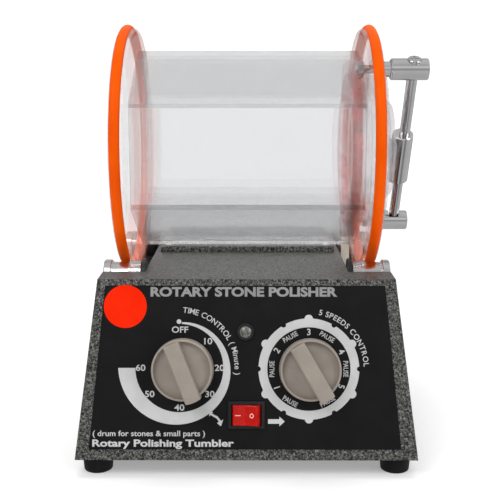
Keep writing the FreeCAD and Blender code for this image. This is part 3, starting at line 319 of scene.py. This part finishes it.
def words(bm, text, size, x, y, place, lo, hi, turn=0.0, shear=0.0, weight=0.0, wide=1.0, centre=True, height=None):
    """Letters as closed flat solids, `size` mm high, turned clockwise."""
    cu = bpy.data.curves.new("t", "FONT")
    cu.body = text
    cu.size = 1.0
    cu.shear = shear
    cu.offset = weight
    cu.extrude = 0.5
    cu.resolution_u = 4
    cu.align_x = "LEFT"
    ob = bpy.data.objects.new("t", cu)
    bpy.context.collection.objects.link(ob)
    bpy.context.view_layer.update()
    me = bpy.data.meshes.new_from_object(ob.evaluated_get(bpy.context.evaluated_depsgraph_get()))
    xs = [p.co.x for p in me.vertices]
    ys = [p.co.y for p in me.vertices]
    x0, x1 = min(xs), max(xs)
    s = size / 0.72
    c, sn = math.cos(math.radians(-turn)), math.sin(math.radians(-turn))
    mx = (x0 + x1) / 2 if centre else x0
    my = 0.36
    tmp = bmesh.new()
    tmp.from_mesh(me)
    bmesh.ops.remove_doubles(tmp, verts=tmp.verts, dist=1e-5)
    keep = {}
    for p in tmp.verts:
        px, py = (p.co.x - mx) * s * wide, (p.co.y - my) * s
        keep[p] = bm.verts.new(place(x + px * c - py * sn, y + px * sn + py * c, hi if p.co.z > 0 else lo))
    for f in tmp.faces:
        try:
            bm.faces.new([keep[p] for p in f.verts])
        except ValueError:
            pass
    tmp.free()
    bpy.data.objects.remove(ob)
    bpy.data.meshes.remove(me)
    bpy.data.curves.remove(cu)


def char_widths(text, weight=0.0):
    """Advance of each letter in units of the font size."""
    out = []
    for ch in text:
        if ch == " ":
            out.append(0.34)
            continue
        cu = bpy.data.curves.new("t", "FONT")
        cu.body = ch
        cu.offset = weight
        ob = bpy.data.objects.new("t", cu)
        bpy.context.collection.objects.link(ob)
        bpy.context.view_layer.update()
        out.append(ob.dimensions.x + 0.12)
        bpy.data.objects.remove(ob)
        bpy.data.curves.remove(cu)
    return out


def arc_words(bm, text, size, cx, cy, r, start, end, place, lo, hi, weight=0.0):
    """Letters spread evenly round an arc, tops outward."""
    adv = char_widths(text, weight)
    total = sum(adv)
    run = 0.0
    for ch, a in zip(text, adv):
        ang = start + (end - start) * (run + a / 2) / total
        run += a
        if ch != " ":
            px, py = polar(cx, cy, r, ang)
            words(bm, ch, size, px, py, place, lo, hi, turn=ang, weight=weight)


def make_piece(name, bm, material, body):
    bmesh.ops.recalc_face_normals(bm, faces=bm.faces)
    me = bpy.data.meshes.new(name)
    bm.to_mesh(me)
    bm.free()
    ob = bpy.data.objects.new(name, me)
    bpy.context.collection.objects.link(ob)
    me.materials.append(material)
    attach(ob, body)
    return ob


LO, HI = LABEL_TOP + 0.005, LABEL_TOP + 0.05
TU, TV = -38.6, 52.7       # centre of the timer's printed scale
SU, SV = 35.9, 52.2        # centre of the speed scale

bm = bmesh.new()
# timer: a band that widens clockwise from a dot at OFF to the 60 mark
inner, outer = [], []
for i in range(97):
    a = 3 + 267 * i / 96
    inner.append(polar(TU, TV, 25.3, a))
    outer.append(polar(TU, TV, 26.3 + 8.9 * (i / 96) ** 0.95, a))
solid_strip(bm, inner, outer, panel, LO, HI)
solid_plate(bm, [polar(TU - 0.3, TV + 26.6, 1.35, a) for a in range(0, 360, 15)][::-1], panel, LO + 0.01, HI + 0.01)
# speed: a ring with a lobe at each speed and a notch at each pause
inner, outer = [], []
for i in range(360):
    a = i
    r = 29.0
    near = abs((a + 30) % 60 - 30)
    if near < 4.6:
        r = 29.0 + max(0.0, math.sqrt(max(0.0, 1 - (near / 4.6) ** 2))) * 2.1
    off = abs((a) % 60 - 30)
    if off < 3.0:
        r = 29.0 - math.sqrt(max(0.0, 1 - (off / 3.0) ** 2)) * 1.4
    inner.append(polar(SU, SV, 23.9, a))
    outer.append(polar(SU, SV, r, a))
solid_strip(bm, inner, outer, panel, LO, HI, closed=True)
# straight arrow beside the rocker
solid_plate(bm, [(12.4, 20.9), (18.9, 20.9), (18.9, 19.4), (22.0, 22.2), (18.9, 25.0), (18.9, 23.5), (12.4, 23.5)], panel, LO, HI)
# crooked arrow from the timer band to the rocker
solid_strip(bm, [(-20.6, 26.0), (-18.6, 24.6), (-17.4, 24.2), (-16.6, 23.3), (-15.6, 21.6)],
            [(-20.0, 27.0), (-18.2, 25.8), (-16.8, 25.2), (-15.6, 23.9), (-14.5, 22.2)], panel, LO, HI)
solid_plate(bm, [(-16.9, 21.3), (-14.6, 19.4), (-13.3, 23.2)], panel, LO + 0.01, HI + 0.01)
solid_plate(bm, [(-21.4, 27.7), (-21.3, 25.0), (-19.1, 27.6)][::-1], panel, LO + 0.01, HI + 0.01)
make_piece("label_scales", bm, PRINT, "base")

bm = bmesh.new()
B = 0.018
for text, u, v in (("10", -22.0, 68.2), ("20", -15.5, 52.9), ("30", -21.0, 37.9), ("40", -38.5, 30.2), ("50", -55.6, 37.9), ("60", -60.9, 52.9)):
    words(bm, text, 3.6, u, v, panel, LO, HI, weight=B, wide=1.15)
words(bm, "OFF", 3.6, -38.3, 74.8, panel, LO, HI, weight=B, wide=1.1)
arc_words(bm, "TIME CONTROL ( Minute )", 3.3, TU, TV, 33.5, 3.0, 97.0, panel, LO, HI, weight=0.006)
for text, a in (("3", 0), ("4", 62), ("5", 118), ("1", 240), ("2", 300)):
    words(bm, text, 3.7, *polar(SU, SV, 21.3, a), panel, LO, HI, turn=(0 if a == 0 else a if a < 180 else a - 360) * 0.9, weight=B)
for a in (30, 90, 150, 210, 270, 330):
    px, py = polar(SU, SV, 21.3, a)
    t = a if a < 100 or a > 260 else a - 180
    words(bm, "PAUSE", 2.9, px, py, panel, LO, HI, turn=t, weight=0.01, wide=0.82)
arc_words(bm, "5 SPEEDS CONTROL", 3.2, SU, SV, 33.2, 10.0, 88.0, panel, LO, HI, weight=0.008)
words(bm, "( drum for stones & small parts )", 3.2, -88.2, 15.4, panel, LO, HI, weight=0.012, wide=1.1, centre=False)
words(bm, "Rotary Polishing Tumbler", 4.0, -88.4, 9.9, panel, LO, HI, weight=0.03, wide=1.42, centre=False)
make_piece("label_lettering", bm, PRINT, "base")
bm = bmesh.new()
words(bm, "ROTARY STONE POLISHER", 5.2, -1.5, 96.6, panel, LO, HI, weight=0.040, wide=1.24)
make_piece("label_title", bm, PRINT_DIM, "base")

# marks on the two halves of the rocker, which stands tilted at rest
PIV = Vector(JOINTS["rocker_tilt"]["pos_m"])
TILT = math.radians(10)
UP_, NP_ = U_ * math.cos(TILT) + N_ * math.sin(TILT), N_ * math.cos(TILT) - U_ * math.sin(TILT)


def on_rocker(x, y, w):
    z = 3.9 + 1.5 * abs(x) / 8.6 + w
    return PIV + UP_ * (x * MM) + V_ * (y * MM) + NP_ * (z * MM)


bm = bmesh.new()
solid_plate(bm, [(-5.7, -0.25), (-2.6, -0.25), (-2.6, 0.25), (-5.7, 0.25)], on_rocker, -0.02, 0.03)
ri, ro = [polar(3.9, 0, 0.75, a) for a in range(0, 360, 12)], [polar(3.9, 0, 1.2, a) for a in range(0, 360, 12)]
solid_strip(bm, [(x, y * 1.15) for x, y in ri], [(x, y * 1.15) for x, y in ro], on_rocker, -0.02, 0.03, closed=True)
make_piece("rocker_marks", bm, MARK, "rocker")

# ------------------------------------------------------ floor and lights ---
bm = bmesh.new()
prof = [(-2.2, 0.0)] + [(0.9 + 0.6 * math.sin(math.radians(a)), 0.6 - 0.6 * math.cos(math.radians(a))) for a in range(0, 91, 6)] + [(1.5, 3.0)]
rows = [[bm.verts.new((x, y, z)) for y, z in prof] for x in (-3.2, 3.2)]
for i in range(len(prof) - 1):
    bm.faces.new((rows[0][i], rows[1][i], rows[1][i + 1], rows[0][i + 1]))
me = bpy.data.meshes.new("studio_sweep")
bm.to_mesh(me)
bm.free()
for f in me.polygons:
    f.use_smooth = True
sweep = bpy.data.objects.new("studio_sweep", me)
bpy.context.collection.objects.link(sweep)
fm = Mat("studio_white")
fm.use(Base_Color=fm.ramp(fm.noise(3.0), [(0.3, (0.72, 0.72, 0.72)), (0.7, (0.74, 0.74, 0.74))]), Roughness=fm.grey(fm.noise(9.0), 0.5, 0.6),
       Emission_Color=(1.0, 1.0, 1.0, 1.0), Emission_Strength=0.30)
me.materials.append(fm.m)
sweep.visible_glossy = False


def area(name, at, aim, size, power):
    li = bpy.data.lights.new(name, "AREA")
    li.shape = "RECTANGLE"
    li.size, li.size_y = size
    li.energy = power
    ob = bpy.data.objects.new(name, li)
    ob.location = at
    ob.rotation_euler = (Vector(aim) - Vector(at)).to_track_quat("-Z", "Y").to_euler()
    bpy.context.collection.objects.link(ob)
    return ob


area("key", (-0.7, -0.9, 1.25), (0, 0, 0.12), (0.9, 0.7), 13.0 * POWER)
area("fill", (1.1, -0.8, 0.8), (0, 0, 0.12), (0.5, 0.9), 7.0 * POWER)
area("top", (0.0, 0.15, 1.5), (0, 0, 0.1), (1.2, 0.8), 12.0 * POWER).visible_glossy = False
area("back", (0.0, 0.75, 0.9), (0, 1.5, 0.6), (2.6, 0.5), 6.0 * POWER).visible_glossy = False

# a grey room for the mirrors: dark near the horizon and in upright bands to left and right
world = bpy.data.worlds.new("studio")
bpy.context.scene.world = world
world.use_nodes = True
wt = world.node_tree
bg = wt.nodes["Background"]
tc = wt.nodes.new("ShaderNodeTexCoord")
sep = wt.nodes.new("ShaderNodeSeparateXYZ")
wt.links.new(tc.outputs["Generated"], sep.inputs[0])


def world_ramp(sock, lo, hi, stops):
    mr = wt.nodes.new("ShaderNodeMapRange")
    mr.inputs["From Min"].default_value = lo
    mr.inputs["From Max"].default_value = hi
    wt.links.new(sock, mr.inputs["Value"])
    r = wt.nodes.new("ShaderNodeValToRGB")
    while len(r.color_ramp.elements) < len(stops):
        r.color_ramp.elements.new(0.5)
    for e, (p, c) in zip(r.color_ramp.elements, stops):
        e.position = p
        e.color = (c, c, c, 1.0)
    wt.links.new(mr.outputs["Result"], r.inputs["Fac"])
    return r.outputs["Color"]


up = world_ramp(sep.outputs["Z"], -1.0, 1.0, [(0.0, 0.35), (0.34, 0.55), (0.44, 0.03), (0.54, 0.03), (0.60, 0.75), (0.72, 1.0), (0.80, 0.25), (1.0, 0.7)])
across = world_ramp(sep.outputs["X"], -1.0, 1.0, [(0.0, 1.0), (0.14, 0.8), (0.20, 0.03), (0.32, 0.05), (0.40, 0.9), (0.60, 0.9), (0.68, 0.04), (0.82, 0.9)])
mx = wt.nodes.new("ShaderNodeMix")
mx.data_type = "RGBA"
mx.blend_type = "MIX"
mx.inputs[0].default_value = 0.5
wt.links.new(up, mx.inputs[6])
wt.links.new(across, mx.inputs[7])
wt.links.new(mx.outputs[2], bg.inputs[0])
bg.inputs[1].default_value = 0.75

# ---------------------------------------------------------------- camera ---
cam = bpy.data.cameras.new("camera")
cam.sensor_width = 36.0
cam.lens = 64.43
cam.clip_start = 0.01
cam_ob = bpy.data.objects.new("camera", cam)
bpy.context.collection.objects.link(cam_ob)
# the camera stands on the line that passes the middle of the base, whose
# middle is the mean of the two knobs' axes across and the drum axis in depth
mid_x = (TIMER.x + SPEED.x) / 2
mid_y = JOINTS["drum_spin"]["pos_m"][1]
cam_ob.location = (mid_x + 0.00368, mid_y - 0.58216, 0.22966)
cam_ob.rotation_euler = (math.radians(78.67), 0.0, math.radians(0.19))
bpy.context.scene.camera = cam_ob
bpy.context.scene.view_settings.view_transform = "Standard"
bpy.context.scene.view_settings.look = "None"
bpy.context.scene.view_settings.exposure = 0.0
